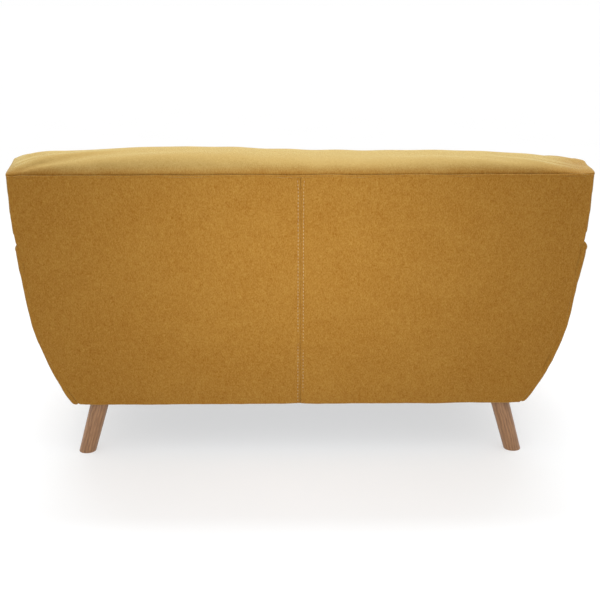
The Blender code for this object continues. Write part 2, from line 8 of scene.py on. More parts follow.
import bpy
import numpy as np
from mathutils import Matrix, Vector
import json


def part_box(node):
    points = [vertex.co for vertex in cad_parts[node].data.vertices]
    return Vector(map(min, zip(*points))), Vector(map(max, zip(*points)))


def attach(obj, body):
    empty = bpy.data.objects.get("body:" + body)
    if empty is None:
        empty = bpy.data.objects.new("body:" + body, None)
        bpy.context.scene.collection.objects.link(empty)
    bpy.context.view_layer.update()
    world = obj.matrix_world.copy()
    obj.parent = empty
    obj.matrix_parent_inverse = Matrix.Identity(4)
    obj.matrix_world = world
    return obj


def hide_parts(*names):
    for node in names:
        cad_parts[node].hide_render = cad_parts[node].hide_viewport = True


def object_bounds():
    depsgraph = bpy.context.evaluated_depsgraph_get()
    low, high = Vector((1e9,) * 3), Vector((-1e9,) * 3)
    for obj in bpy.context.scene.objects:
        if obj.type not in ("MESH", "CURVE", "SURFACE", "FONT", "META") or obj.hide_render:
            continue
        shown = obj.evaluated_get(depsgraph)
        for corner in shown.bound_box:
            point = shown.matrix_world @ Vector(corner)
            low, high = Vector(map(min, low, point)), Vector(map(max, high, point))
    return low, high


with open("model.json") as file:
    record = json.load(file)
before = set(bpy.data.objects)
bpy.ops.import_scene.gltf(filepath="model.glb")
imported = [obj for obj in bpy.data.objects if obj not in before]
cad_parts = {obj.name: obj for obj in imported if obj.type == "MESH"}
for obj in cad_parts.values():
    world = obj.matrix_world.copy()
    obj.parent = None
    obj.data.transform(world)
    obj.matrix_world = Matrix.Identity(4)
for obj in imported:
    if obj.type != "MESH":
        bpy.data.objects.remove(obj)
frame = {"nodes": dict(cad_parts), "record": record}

CAD_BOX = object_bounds()
BODY = "sofa_frame"

# The bowl's side: a straight lean that runs down into an arc
SIDE_LEAN = math.radians(5.75)
BOWL_RADIUS = 0.600
KNEE_X = 0.726
KNEE_Z = 0.427
BOWL_X = KNEE_X - BOWL_RADIUS * math.cos(SIDE_LEAN)
BOWL_Z = KNEE_Z + BOWL_RADIUS * math.sin(SIDE_LEAN)

# The back's lean, and heights and depths from the frame
BACK_LEAN = math.radians(10.0)
BACK_SET_IN = 0.0030
HALF_WIDTH = CAD_BOX[1].x
BASE_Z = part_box("arm_outer_pad_left")[0].z
BACK_SEAM_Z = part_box("back_top_welt")[1].z
BACK_HEIGHT = (BACK_SEAM_Z - BASE_Z) / math.cos(BACK_LEAN)
BACK_FOOT_Y = CAD_BOX[1].y - BACK_HEIGHT * math.sin(BACK_LEAN)
BACK_PAD_DEPTH = 0.155
CROWN_RISE = 0.027
CROWN_SETTLE = 0.010  # how far the crown sinks when the front is blown up
DECK_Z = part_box("seat_deck_pad")[1].z
SEAT_HALF_WIDTH = 0.600
ARM_FRONT_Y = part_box("arm_front_facing_left")[0].y
ARM_FRONT_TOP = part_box("arm_front_facing_left")[1].z
ARM_REAR_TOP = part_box("arm_outer_pad_left")[1].z

# Sewing
SEAM_SET_IN = 0.0090
BACK_SEAM_SET_IN = 0.0030
STITCH_ROW = 0.0070
STITCH_PITCH = 0.0098
STITCH_LENGTH = 0.0052
THREAD = 0.00055
PIPING = 0.0032
TUCK = 0.010  # how far a skin's edge turns in behind its seam
TURN = 6.283  # a full turn as the ripples use it


# Places on the sofa


def points_at(x, y, z):
    """Points from their x, y and z, each a number or an array, spread over one another."""
    return np.stack(np.broadcast_arrays(x, y, z), axis=-1)


def side_x(z, inset=0.0):
    """Half width of the bowl at a height: below the knee the arc's circle, above it the leaning line."""
    radius = BOWL_RADIUS - inset
    knee_z = BOWL_Z - radius * math.sin(SIDE_LEAN)
    arc = BOWL_X + np.sqrt(np.maximum(radius**2 - (BOWL_Z - z) ** 2, 0.0))
    line = BOWL_X + radius * math.cos(SIDE_LEAN) + (z - knee_z) * math.tan(SIDE_LEAN)
    return np.where(z < knee_z, arc, line)


def inner_x(z):
    """Half width between the arms: a line that leans out as it rises."""
    return SEAT_HALF_WIDTH + (z - DECK_Z) * math.tan(SIDE_LEAN)


def on_back(x, up, out):
    """World points of places on the leaning back."""
    y = BACK_FOOT_Y + out * math.cos(BACK_LEAN) + up * math.sin(BACK_LEAN)
    z = BASE_Z - out * math.sin(BACK_LEAN) + up * math.cos(BACK_LEAN)
    return points_at(x, y, z)


def from_back(points):
    """Places on the leaning back of world points: x, up and out."""
    y = points[..., 1] - BACK_FOOT_Y
    z = points[..., 2] - BASE_Z
    out = y * math.cos(BACK_LEAN) - z * math.sin(BACK_LEAN)
    up = y * math.sin(BACK_LEAN) + z * math.cos(BACK_LEAN)
    return points[..., 0], up, out


def up_at(z, out=0.0):
    """How far up the back a height lies, at a place through it."""
    return (z - BASE_Z + out * math.sin(BACK_LEAN)) / math.cos(BACK_LEAN)


def back_y(z, out=0.0):
    return BACK_FOOT_Y + (z - BASE_Z) * math.tan(BACK_LEAN) + out / math.cos(BACK_LEAN)


def back_x(up):
    """Half width of the back above the arms: the bowl's line set in, upright near the top."""
    return np.minimum(side_x(BASE_Z + up * math.cos(BACK_LEAN), BACK_SET_IN), HALF_WIDTH)


def arm_top(y):
    """The arm's top falls in a straight line from the back to the front."""
    rear = back_y(ARM_REAR_TOP)
    return ARM_FRONT_TOP + (y - ARM_FRONT_Y) * (ARM_REAR_TOP - ARM_FRONT_TOP) / (rear - ARM_FRONT_Y)


# Shapes


def smooth(low, high, value):
    """0 below low, 1 above high, and a smooth step 3t^2 - 2t^3 between them."""
    t = np.clip((value - low) / (high - low), 0.0, 1.0)
    return t * t * (3.0 - 2.0 * t)


def roll(distance, radius):
    """How far a rounded edge lies below its face: a quarter circle, by distance from the edge."""
    near = np.clip(radius - distance, 0.0, radius)
    return radius - np.sqrt(np.maximum(radius**2 - near**2, 0.0))


def ripple(a, b, seed, length, height, waves=9):
    """Soft irregular unevenness: a sum of cosine waves of about one length, in random directions."""
    dice = np.random.default_rng(seed)
    total = np.zeros(np.broadcast(a, b).shape)
    ways = dice.uniform(0, math.pi, waves)
    phases = dice.uniform(0, TURN, waves)
    scales = dice.uniform(0.65, 1.6, waves)
    for way, phase, scale in zip(ways, phases, scales):
        total += np.cos((a * math.cos(way) + b * math.sin(way)) * TURN / (length * scale) + phase)
    return height * total * math.sqrt(2.0 / waves)


def crest(value, middle, width):
    """A bell of height 1: e to the minus square of the distance from its middle, in widths."""
    return np.exp(-(((value - middle) / width) ** 2))


def angles(count):
    """Evenly spaced angles round a circle."""
    return np.linspace(0, 2 * math.pi, count, endpoint=False)


def evenly(path, count):
    """A closed path in two directions as points at even lengths along it."""
    closed = np.concatenate([path, path[:1]])
    length = np.concatenate([[0], np.cumsum(np.linalg.norm(np.diff(closed, axis=0), axis=1))])
    at = np.linspace(0, length[-1], count, endpoint=False)
    return np.stack([np.interp(at, length, closed[:, k]) for k in (0, 1)], axis=1)


def spread(*stops):
    """Parameter values through the given stops: each is a value and how many steps lead up to it."""
    values = [np.array([stops[0][0]])]
    for (start, _), (end, steps) in zip(stops, stops[1:]):
        values.append(np.linspace(start, end, steps + 1)[1:])
    return np.concatenate(values)


def quads(rows, columns, wrap=False):
    """The faces of a grid of rows and columns. With wrap, the last column joins the first."""
    row, column = np.meshgrid(np.arange(rows - 1), np.arange(columns if wrap else columns - 1), indexing="ij")
    here, above = row * columns, (row + 1) * columns
    after = (column + 1) % columns
    return np.stack([here + column, here + after, above + after, above + column], axis=-1).reshape(-1, 4)


def placed(name, data):
    """A new object in the scene."""
    made = bpy.data.objects.new(name, data)
    bpy.context.scene.collection.objects.link(made)
    return made


def mesh_points(mesh):
    """A mesh's points as rows of x, y and z."""
    flat = np.empty(len(mesh.vertices) * 3)
    mesh.vertices.foreach_get("co", flat)
    return flat.reshape(-1, 3)


def new_piece(name, points, faces, body=BODY, slot="cover_fabric", finish=None):
    """A piece from arrays of points and faces, riding on its body. Its finish is its slot's, unless another
    is named."""
    mesh = bpy.data.meshes.new(name)
    corners = np.asarray(points, float).reshape(-1, 3).tolist()
    mesh.from_pydata(corners, [], [list(map(int, face)) for face in faces])
    mesh.shade_smooth()
    mesh.materials.append(FINISHES[finish or slot])
    piece = placed(name, mesh)
    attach(piece, body)
    return piece


def sheet_piece(name, grid, thickness=0.0016, flip=False, **facts):
    """A fabric skin from a grid of points, given its thickness inwards, so that it is closed."""
    faces = quads(*grid.shape[:2])
    piece = new_piece(name, grid, faces[:, ::-1] if flip else faces, **facts)
    wall = piece.modifiers.new("thickness", "SOLIDIFY")
    wall.thickness = thickness
    wall.offset = -1.0
    return piece


def turned_out(piece):
    """Turns a closed piece's faces outwards if its volume comes out negative."""
    mesh = piece.data
    mesh.calc_loop_triangles()
    corners = np.empty(len(mesh.loop_triangles) * 3, np.int32)
    mesh.loop_triangles.foreach_get("vertices", corners)
    triangles = mesh_points(mesh)[corners].reshape(-1, 3, 3)
    if np.linalg.det(triangles).sum() < 0:
        mesh.flip_normals()
    return piece


def tube(path, radius, sides=10, closed=False):
    """Rings round a path: each is a circle across the path, built on two directions square to it."""
    path = np.asarray(path, float)
    along = np.roll(path, -1, 0) - np.roll(path, 1, 0) if closed else np.gradient(path, axis=0)
    along /= np.linalg.norm(along, axis=1, keepdims=True)
    helper = np.where(np.abs(along[:, 2:]) > 0.9, [[1.0, 0.0, 0.0]], [[0.0, 0.0, 1.0]])
    first = np.cross(along, helper)
    first /= np.linalg.norm(first, axis=1, keepdims=True)
    second = np.cross(along, first)
    angle = angles(sides)[None, :, None]
    circle = np.cos(angle) * first[:, None] + np.sin(angle) * second[:, None]
    return path[:, None] + np.reshape(radius, (-1, 1, 1)) * circle


def many(name, rings_list, **facts):
    """Closed forms in one piece. Each is rings of points, one after another, with a face on each end."""
    points = []
    faces = []
    start = 0
    for rings in rings_list:
        count, around = rings.shape[:2]
        points.append(rings.reshape(-1, 3))
        faces += (quads(count, around, wrap=True) + start).tolist()
        first = range(start, start + around)
        start += count * around
        faces += [first[::-1], range(start - around, start)]
    return turned_out(new_piece(name, np.concatenate(points), faces, **facts))


def rings_piece(name, rings, **facts):
    """A piece of one closed form."""
    return many(name, [rings], **facts)


def piping(name, path, sides=10, **facts):
    """A round cord along a closed path."""
    rings = tube(path, PIPING, sides, closed=True)
    faces = quads(len(rings) + 1, sides, wrap=True) % (len(rings) * sides)
    return turned_out(new_piece(name, rings, faces, **facts))


# Padding by cloth simulation


CLOTH_SETTINGS = {"quality": 5, "mass": 0.3, "tension_stiffness": 18, "compression_stiffness": 18,
                  "shear_stiffness": 8, "bending_stiffness": 0.9, "use_pressure": True}


def simulate(piece, pressure, cap, held, frames=20):
    """Blows a remeshed form up as cloth, its held points fixed, and lets no point move further than cap."""
    mesh = piece.data
    before = mesh_points(mesh)
    group = piece.vertex_groups.new(name="held")
    group.add(np.flatnonzero(held(before)).tolist(), 1.0, "REPLACE")
    cloth = piece.modifiers.new("cloth", "CLOTH")
    for key, value in CLOTH_SETTINGS.items():
        setattr(cloth.settings, key, value)
    cloth.settings.uniform_pressure_force = pressure
    cloth.settings.effector_weights.gravity = 0.0
    cloth.settings.vertex_group_mass = "held"
    cloth.point_cache.frame_start = 1
    cloth.point_cache.frame_end = frames
    scene = bpy.context.scene
    for step in range(1, frames + 1):
        scene.frame_set(step)
    blown = piece.evaluated_get(bpy.context.evaluated_depsgraph_get())
    moved = mesh_points(blown.to_mesh()) - before
    moved *= np.minimum(1.0, cap / np.maximum(np.linalg.norm(moved, axis=1, keepdims=True), 1e-9))
    blown.to_mesh_clear()
    piece.modifiers.remove(cloth)
    piece.vertex_groups.remove(group)
    scene.frame_set(1)
    mesh.vertices.foreach_set("co", (before + moved).ravel())
    mesh.update()


def remeshed(piece, voxel, rounds):
    """Remeshes a piece into even squares, which joins what overlaps in it, then eases its corners."""
    remesh = piece.modifiers.new("remesh", "REMESH")
    remesh.mode = "VOXEL"
    remesh.voxel_size = voxel
    even = piece.modifiers.new("even", "SMOOTH")
    even.factor = 0.5
    even.iterations = rounds
    graph = bpy.context.evaluated_depsgraph_get()
    mesh = bpy.data.meshes.new_from_object(piece.evaluated_get(graph))
    piece.modifiers.clear()
    old = piece.data
    piece.data = mesh
    bpy.data.meshes.remove(old)
    mesh.name = piece.name
    mesh.materials.clear()
    mesh.materials.append(FINISHES["cover_fabric"])
    mesh.shade_smooth()


def reshape(piece, change):
    """Moves a piece's points by a function of all of them."""
    piece.data.vertices.foreach_set("co", change(mesh_points(piece.data)).ravel())
    piece.data.update()


def subdivide(piece):
    finer = piece.modifiers.new("finer", "SUBSURF")
    finer.levels = 1
    finer.render_levels = 1


# Finishes


class Finish:
    """A material while it is made: its nodes, its shader, and the steps that the finishes share."""

    def __init__(self, name, roughness, **constants):
        self.material = bpy.data.materials.new(name)
        self.material.use_nodes = True
        self.tree = self.material.node_tree
        self.shader = self.tree.nodes["Principled BSDF"]
        for key, value in {"Roughness": roughness, **constants}.items():
            self.shader.inputs[key.replace("_", " ")].default_value = value

    def add(self, kind, settings=None, **inputs):
        """Adds a node and gives its outputs. An input is named by its label, with _ for a space, or by i and
        its number, and takes a value or another node's socket."""
        made = self.tree.nodes.new("ShaderNode" + kind)
        for key, value in (settings or {}).items():
            setattr(made, key, value)
        for key, value in inputs.items():
            numbered = key[0] == "i" and key[1:].isdigit()
            socket = made.inputs[int(key[1:]) if numbered else key.replace("_", " ")]
            if isinstance(value, bpy.types.NodeSocket):
                self.tree.links.new(value, socket)
            else:
                socket.default_value = value
        return made.outputs

    def join(self, label, source):
        self.tree.links.new(source, self.shader.inputs[label])

    def maths(self, operation, a, b=0.0):
        return self.add("Math", {"operation": operation}, i0=a, i1=b)[0]

    def times(self, a, b):
        return self.maths("MULTIPLY", a, b)

    def plus(self, total, *others):
        for other in others:
            total = self.maths("ADD", total, other)
        return total

    def blend(self, amount, *colours):
        dark, light = (c if isinstance(c, bpy.types.NodeSocket) else (*c, 1.0) for c in colours)
        return self.add("Mix", {"data_type": "RGBA"}, i0=amount, i6=dark, i7=light)[2]

    def ranged(self, value, low, high, start=0.0, end=1.0, shape="LINEAR"):
        """Low to high stretched to start to end."""
        limits = {"From_Min": low, "From_Max": high, "To_Min": start, "To_Max": end}
        return self.add("MapRange", {"interpolation_type": shape}, Value=value, **limits)[0]

    def noise(self, where, scale, detail=2.0, roughness=0.5):
        return self.add("TexNoise", Vector=where, Scale=scale, Detail=detail, Roughness=roughness)[0]

    def place(self):
        return self.add("TexCoord")["Object"]

    def scaled(self, where, *scale):
        return self.add("Mapping", Vector=where, Scale=scale)[0]

    def bent(self, where, amount, scale, detail):
        """Places moved about by a noise."""
        wander = self.add("TexNoise", Vector=where, Scale=scale, Detail=detail)["Color"]
        off = self.add("VectorMath", {"operation": "SCALE"}, i0=wander, Scale=amount)[0]
        return self.add("VectorMath", {"operation": "ADD"}, i0=where, i1=off)[0]

    def sines(self, where, pitch):
        """A sine wave of this pitch along each of x, y and z."""
        parts = self.add("SeparateXYZ", Vector=where)
        return [self.maths("SINE", self.times(part, 2 * math.pi / pitch)) for part in parts]

    def relief(self, strength, distance, height):
        """Gives the surface a fine bump from a height."""
        self.join("Normal", self.add("Bump", Strength=strength, Distance=distance, Height=height)[0])


# Heights between which the cover's colour turns to the crown's painted sheen: a paler colour painted where
# light from above catches the crown's top
SHEEN_PAINT_LOW = 0.814
SHEEN_PAINT_HIGH = 0.846
# The crown's colours, dark and light: painted sheen, paler for the light that falls on its top
PAINTED_CROWN_SHEEN = ((0.330, 0.198, 0.047), (0.450, 0.302, 0.104))
THREAD_PITCH = 0.0019


def woven_cover(name, dark, light):
    """Velvety woven cloth: fine threads crossing, slubs, a soft mottle and broad shading of the pile. Over
    the back's crown it turns paler by height: painted sheen, a highlight painted into the colour."""
    cloth = Finish(name, 0.86, Specular_IOR_Level=0.12, Sheen_Weight=0.50, Sheen_Roughness=0.28,
                   Sheen_Tint=(0.97, 1.0, 0.60, 1.0))
    times, plus = cloth.times, cloth.plus
    place = cloth.place()
    stretched = cloth.scaled(place, 1.0, 1.0, 0.45)
    fine = cloth.noise(stretched, 430.0, 3.0, 0.65)
    slub = cloth.noise(stretched, 130.0, 2.0, 0.6)
    cloud = cloth.noise(place, 11.0, 3.0, 0.55)
    sines = cloth.sines(cloth.bent(place, 0.004, 60.0, 1.0), THREAD_PITCH)
    threads = plus(*(times(sines[a], sines[b]) for a, b in ((0, 1), (1, 2), (0, 2))))
    shade = plus(times(fine, 1.10), times(slub, 0.30), times(cloud, 0.14), times(threads, 0.045))
    amount = cloth.ranged(shade, 0.47, 1.07)
    height = plus(cloth.add("SeparateXYZ", Vector=place)[2], times(cloud, 0.012))
    # Painted sheen: the base colour turns paler up the crown, a highlight of the light from above painted in
    painted_sheen_mask = cloth.ranged(height, SHEEN_PAINT_LOW, SHEEN_PAINT_HIGH, shape="SMOOTHSTEP")
    painted_sheen_tone = cloth.blend(amount, *PAINTED_CROWN_SHEEN)
    cloth.join("Base Color", cloth.blend(painted_sheen_mask, cloth.blend(amount, dark, light), painted_sheen_tone))
    cloth.join("Roughness", cloth.ranged(slub, 0.3, 0.7, 0.80, 0.95))
    cloth.relief(0.55, 0.0009, plus(times(threads, 0.16), times(fine, 1.1)))
    return cloth.material


def leg_finish():
    """Oiled oak: growth rings cut along the leg, a wandering tone, fine dark pores and a satin surface."""
    oak = Finish("leg_oak", 0.42, Coat_Weight=0.12, Coat_Roughness=0.35)
    place = oak.add("Attribute", {"attribute_name": "leg_space"})["Vector"]
    stretched = oak.scaled(oak.bent(place, 0.020, 9.0, 2.0), 1.0, 1.0, 0.10)
    rings = oak.add("TexWave", {"wave_type": "RINGS", "rings_direction": "Z"}, Vector=stretched, Scale=42.0,
                    Distortion=3.5, Detail=3.0, Detail_Scale=2.2)[1]
    pores = oak.noise(oak.scaled(place, 1.0, 1.0, 0.035), 900.0, 2.0, 0.6)
    tone = oak.noise(oak.scaled(place, 1.0, 1.0, 0.20), 70.0, 2.0, 0.5)
    amount = oak.plus(oak.times(rings, 0.45), oak.times(tone, 0.55))
    wood = oak.blend(amount, (0.188, 0.082, 0.028), (0.394, 0.200, 0.083))
    streak = oak.ranged(pores, 0.36, 0.50, 1.0, 0.0)
    oak.join("Base Color", oak.blend(oak.times(streak, 0.55), wood, (0.100, 0.041, 0.015)))
    oak.join("Roughness", oak.ranged(streak, 0.0, 1.0, 0.38, 0.62))
    oak.relief(0.5, 0.0004, oak.maths("SUBTRACT", rings, streak))
    return oak.material


def sawn_timber(name, dark, light, layers=0.0):
    """Sawn softwood or plywood inside the frame: streaks along the piece, or thin glued layers."""
    wood = Finish(name, 0.7)
    place = wood.place()
    streaks = wood.noise(wood.scaled(place, 0.12, 1.0, 1.0), 120.0, 4.0, 0.6)
    if layers:
        plies = wood.sines(place, layers)[0]
        streaks = wood.plus(wood.times(streaks, 0.6), wood.times(plies, 0.2))
    wood.join("Base Color", wood.blend(streaks, dark, light))
    wood.relief(0.3, 0.0006, streaks)
    return wood.material


def plain_weave(name, dark, light, pitch, roughness=0.9):
    """A coarse flat weave, for straps, the spring cloth and the dust cover."""
    weave = Finish(name, roughness)
    x, y, z = weave.sines(weave.place(), pitch)
    amount = weave.ranged(weave.times(x, weave.plus(y, z)), -1.0, 1.0)
    weave.join("Base Color", weave.blend(amount, dark, light))
    weave.relief(0.4, 0.0004, amount)
    return weave.material


def speckled(name, dark, light, scale, roughness, metallic=0.0, depth=0.0003):
    """A plain stock material whose tone and surface vary a little: foam, moulded plastic or drawn steel."""
    stock = Finish(name, roughness, Metallic=metallic)
    grain = stock.noise(stock.place(), scale, 3.0, 0.6)
    stock.join("Base Color", stock.blend(grain, dark, light))
    stock.join("Roughness", stock.ranged(grain, 0.0, 1.0, roughness - 0.08, min(roughness + 0.08, 1.0)))
    stock.relief(0.4, depth, grain)
    return stock.material


def thread_finish():
    """Bonded thread with its twist showing as slanting bands."""
    thread = Finish("seam_thread", 0.6, Sheen_Weight=0.15)
    twist = thread.add("TexWave", {"bands_direction": "DIAGONAL"}, Vector=thread.place(), Scale=900.0,
                       Distortion=0.5)[1]
    thread.join("Base Color", thread.blend(twist, (0.44, 0.31, 0.16), (0.64, 0.50, 0.30)))
    return thread.material


# Back


def outside_back(side, word):
    """One half of the outside back: flat cloth over fleece, from the middle seam to the side seam.

    The grid runs across by s and up by t. The face lies near out = 0. It rolls in along its four edges, sinks
    beside the middle seam, swells between the seam and its two rows of stitches, and ripples slightly.
    """
    top = BACK_HEIGHT - 0.0018
    s = spread((0.0, 0), (0.004, 4), (0.020, 12), (0.90, 46), (0.985, 10), (1.0, 8), (1.0, 1))[None, :]
    up = spread((0.0, 0), (0.0, 1), (0.012, 7), (top - 0.012, 150), (top, 7), (top, 1))[:, None]
    notch = up_at(ARM_REAR_TOP)
    wide = side_x(BASE_Z + up * math.cos(BACK_LEAN), SEAM_SET_IN)
    narrow = back_x(up) - BACK_SEAM_SET_IN
    step = smooth(notch - 0.006, notch + 0.006, up)
    reach = wide * (1 - step) + narrow * step
    reach = reach - 0.0012 + ripple(up, 0.0 * up, 61 + side, 0.09, 0.0006)
    x = s * reach
    from_side = (1 - s) * reach
    swell = 0.0030 * smooth(0.0, 0.05, x) * smooth(0.0, 0.05, from_side)
    valley = -0.0017 * crest(x, 0.0, 0.0022) - 0.0008 * crest(x, STITCH_ROW, 0.0016)
    out = swell + valley
    out = out - roll(from_side, 0.0040) * 1.4 - roll(up, 0.006) - roll(top - up, 0.0018)
    out = out + ripple(x, up, 11 + side, 0.16, 0.0007) + ripple(x, up, 31 + side, 0.045, 0.00025)
    out[:, -1] -= TUCK
    out[0] -= TUCK
    out[-1] -= TUCK
    grid = on_back(side * x, up, out)
    piece = sheet_piece(f"outside_back_cover_{word}", grid, flip=side > 0)
    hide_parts(f"outside_back_{word}")


def stitch_rings(path_x, path_up, out):
    """One stitch: a short round thread whose ends dive into the cloth."""
    t = np.linspace(-1.0, 1.0, 7)
    up = path_up + t * STITCH_LENGTH / 2
    arch = out - 0.0009 * np.abs(t) ** 4
    radius = THREAD * np.sqrt(np.maximum(1 - np.abs(t) ** 6, 0.12))
    return tube(on_back(path_x + 0.0 * up, up, arch), radius, 7)


def middle_topstitch():
    """Two rows of stitches beside the middle seam, which spread a little just under the top."""
    dice = np.random.default_rng(5)
    rows = []
    for side in (1, -1):
        for up in np.arange(0.014, BACK_HEIGHT - 0.012, STITCH_PITCH):
            flare = 0.0016 * smooth(BACK_HEIGHT - 0.040, BACK_HEIGHT - 0.008, up)
            wobble = dice.normal(0.0, 0.00018)
            x = side * (STITCH_ROW + flare) + wobble
            rows.append(stitch_rings(x, up + dice.normal(0.0, 0.0003), 0.0003))
    many("middle_topstitch", rows, finish="thread")


def top_welt():
    """The rolled lip along the outside back's top edge, a little wavy."""
    x = np.linspace(-1, 1, 260) * (HALF_WIDTH - 0.0155)
    up = BACK_HEIGHT - 0.0016 + ripple(x, 0 * x, 3, 0.16, 0.00045) - 0.004 * smooth(0.715, 0.7345, np.abs(x))
    out = 0.0008 + ripple(x, 0 * x, 4, 0.11, 0.0004) - 0.007 * smooth(0.722, 0.7345, np.abs(x))
    piece = many("back_top_lip", [tube(on_back(x, up, out), 0.0031, 14)])
    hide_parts("back_top_welt")


def crown_section(low_rear, low_front):
    """The back's section as a loop in out and up: rear face, quarter round, top, round nose, front face."""
    seam = BACK_HEIGHT + 0.0032
    rise = CROWN_RISE + CROWN_SETTLE
    steps = np.radians(np.linspace(0.0, 90.0, 9))
    rear = np.stack([-0.050 + 0.051 * np.cos(steps), seam + rise * np.sin(steps)], axis=1)
    nose = 0.055
    nose_out = -BACK_PAD_DEPTH + nose - nose * np.sin(steps)
    front = np.stack([nose_out, seam + rise - nose + nose * np.cos(steps)], axis=1)
    foot = [[-BACK_PAD_DEPTH, low_front], [-0.008, low_rear], [-0.008, seam - 0.003], [-0.001, seam - 0.001]]
    return np.concatenate([rear, front, foot])


def side_taper(out):
    """How far the back's side lies inside its widest line: a rolled seam at the rear, then a long ease."""
    depth = np.maximum(-out, 0.0)
    taper = 0.0010 * (1 - smooth(0.0, 0.060, depth)) + 0.7 * roll(depth, 0.010)
    return taper + 0.012 * smooth(0.10, 0.16, depth)


def inside_back():
    """The inside back and its crown: a T of padding, blown up as cloth, then tufted by its buttons.

    The T is two overlapping forms that remeshing joins: the full width above the arms, and the part between
    them. Each is the back's section carried across by x.
    """
    piece = bare_inside_back()
    remeshed(piece, 0.010, 6)
    simulate(piece, 5.0, 0.010, lambda p: held_back(*from_back(p)))
    reshape(piece, tufted)
    subdivide(piece)
    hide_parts("inside_back_pad", "back_side_pad_left", "back_side_pad_right")
    return piece


def bare_inside_back():
    """The T before it is blown up, drawn in a little for the cloth's swelling."""
    shrink = 0.0015
    rest = ARM_REAR_TOP + 0.002
    low_front = up_at(arm_top(back_y(rest, -BACK_PAD_DEPTH)) + 0.001, -BACK_PAD_DEPTH)
    upper = crown_section(up_at(rest), low_front)
    lower = crown_section(up_at(DECK_Z + 0.001), up_at(DECK_Z - 0.017, -BACK_PAD_DEPTH))
    lower[:, 1] = np.minimum(lower[:, 1], up_at(ARM_REAR_TOP) + 0.06)
    stations = spread((-1.0, 0), (-0.96, 4), (0.96, 60), (1.0, 4))[:, None]
    rings = []
    for section, width in ((upper, "upper"), (lower, "lower")):
        out, up = section[:, 0], section[:, 1]
        z = BASE_Z + up * math.cos(BACK_LEAN) - out * math.sin(BACK_LEAN)
        reach = back_x(up) - side_taper(out) if width == "upper" else inner_x(z) - 0.003
        x = stations * (reach - shrink)[None, :]
        rings.append(on_back(x, up[None, :], out[None, :]))
    return many("inside_back_cover", rings)


def held_back(x, up, out):
    """The points that the frame holds: the rear face, the seams at the sides and foot."""
    rear = (out > -0.020) & (up < BACK_HEIGHT + 0.008)
    return rear | (up < 0.10) | (np.abs(x) > back_x(up) - 0.010)


# The buttons' places, across and up the back
BUTTON_ROWS = ((0.575, 0.525, 8), (0.425, 0.450, 7))
BUTTONS = [(x, up) for up, reach, count in BUTTON_ROWS for x in np.linspace(-reach, reach, count)]
BUTTON_RADIUS = 0.0125
BUTTON_DOME = 0.0055


def tufted(points):
    """Presses the buttons in, sinks a fold along each line between neighbours, and shapes the crown.

    A dimple's depth falls off by e to the minus (distance / reach) to the power 1.1. A fold is a groove by
    distance from its line.
    """
    x, up, out = from_back(points)
    facing = smooth(0.090, 0.125, -out)
    depth = np.zeros(len(points))
    for bx, bup in BUTTONS:
        distance = np.hypot(x - bx, up - bup)
        depth = np.maximum(depth, 0.032 * np.exp(-((distance / 0.032) ** 1.1)))
    folds = np.zeros(len(points))
    for a in BUTTONS:
        for b in BUTTONS:
            if a[1] > b[1] and 0.01 < abs(a[0] - b[0]) < 0.09:
                folds = np.maximum(folds, fold(x, up, a, b, 0.0115))
    for bx, bup in BUTTONS:
        end = (bx, 0.700) if bup > 0.5 else (bx, 0.270)
        fade = 1 - smooth(0.0, 0.9, np.abs(up - bup) / abs(end[1] - bup))
        folds = np.maximum(folds, fold(x, up, (bx, bup), end, 0.0105) * fade)
    out = out + facing * (np.maximum(depth, folds) - 0.003)
    x = flanks(x, up, out)
    up, out = crown(x, up, out)
    return on_back(x, up, out)


def flanks(x, up, out):
    """Lays the back's sides, above the arms, on a smooth face that swells by a sine and has rolled edges."""
    wide = back_x(up)
    width = np.abs(x)
    notch = up_at(ARM_REAR_TOP)
    near = smooth(wide - 0.018, wide - 0.007, width) * smooth(notch - 0.004, notch + 0.012, up)
    swell = 0.0004 * np.sin(math.pi * np.clip((up - 0.46) / (BACK_HEIGHT - 0.46), 0.0, 1.0))
    face = wide + swell - 0.9 * roll(np.maximum(-out, 0.0), 0.008)
    face = face - 0.9 * roll(np.maximum(BACK_PAD_DEPTH + out, 0.0), 0.016)
    face = face - 0.006 * smooth(0.004, 0.030, up - BACK_HEIGHT)
    return np.sign(x) * (width * (1 - near) + face * near)


def fold(x, up, a, b, depth):
    """A groove from a to b: its depth times e to the minus (distance / 0.011) to the power 1.4."""
    run = (b[0] - a[0], b[1] - a[1])
    along = np.clip(((x - a[0]) * run[0] + (up - a[1]) * run[1]) / (run[0] ** 2 + run[1] ** 2), 0.0, 1.0)
    distance = np.hypot(x - a[0] - along * run[0], up - a[1] - along * run[1])
    return depth * np.exp(-((distance / 0.011) ** 1.4))


# How the crown's top line rises and falls from the left end (+X) to the right
LEFT_END_DROP = 0.026
RIGHT_END_DROP = 0.034
LEFT_END_REACH = 0.06
RIGHT_END_REACH = 0.13
LEFT_HUMP = 0.0065
RIGHT_DIP = 0.0045
LEFT_SAG = 0.005  # how much lower the crown's front edge lies at each end
RIGHT_SAG = 0.014
PUCKER_LENGTH = 0.150
PUCKER_DEPTH = 0.0042


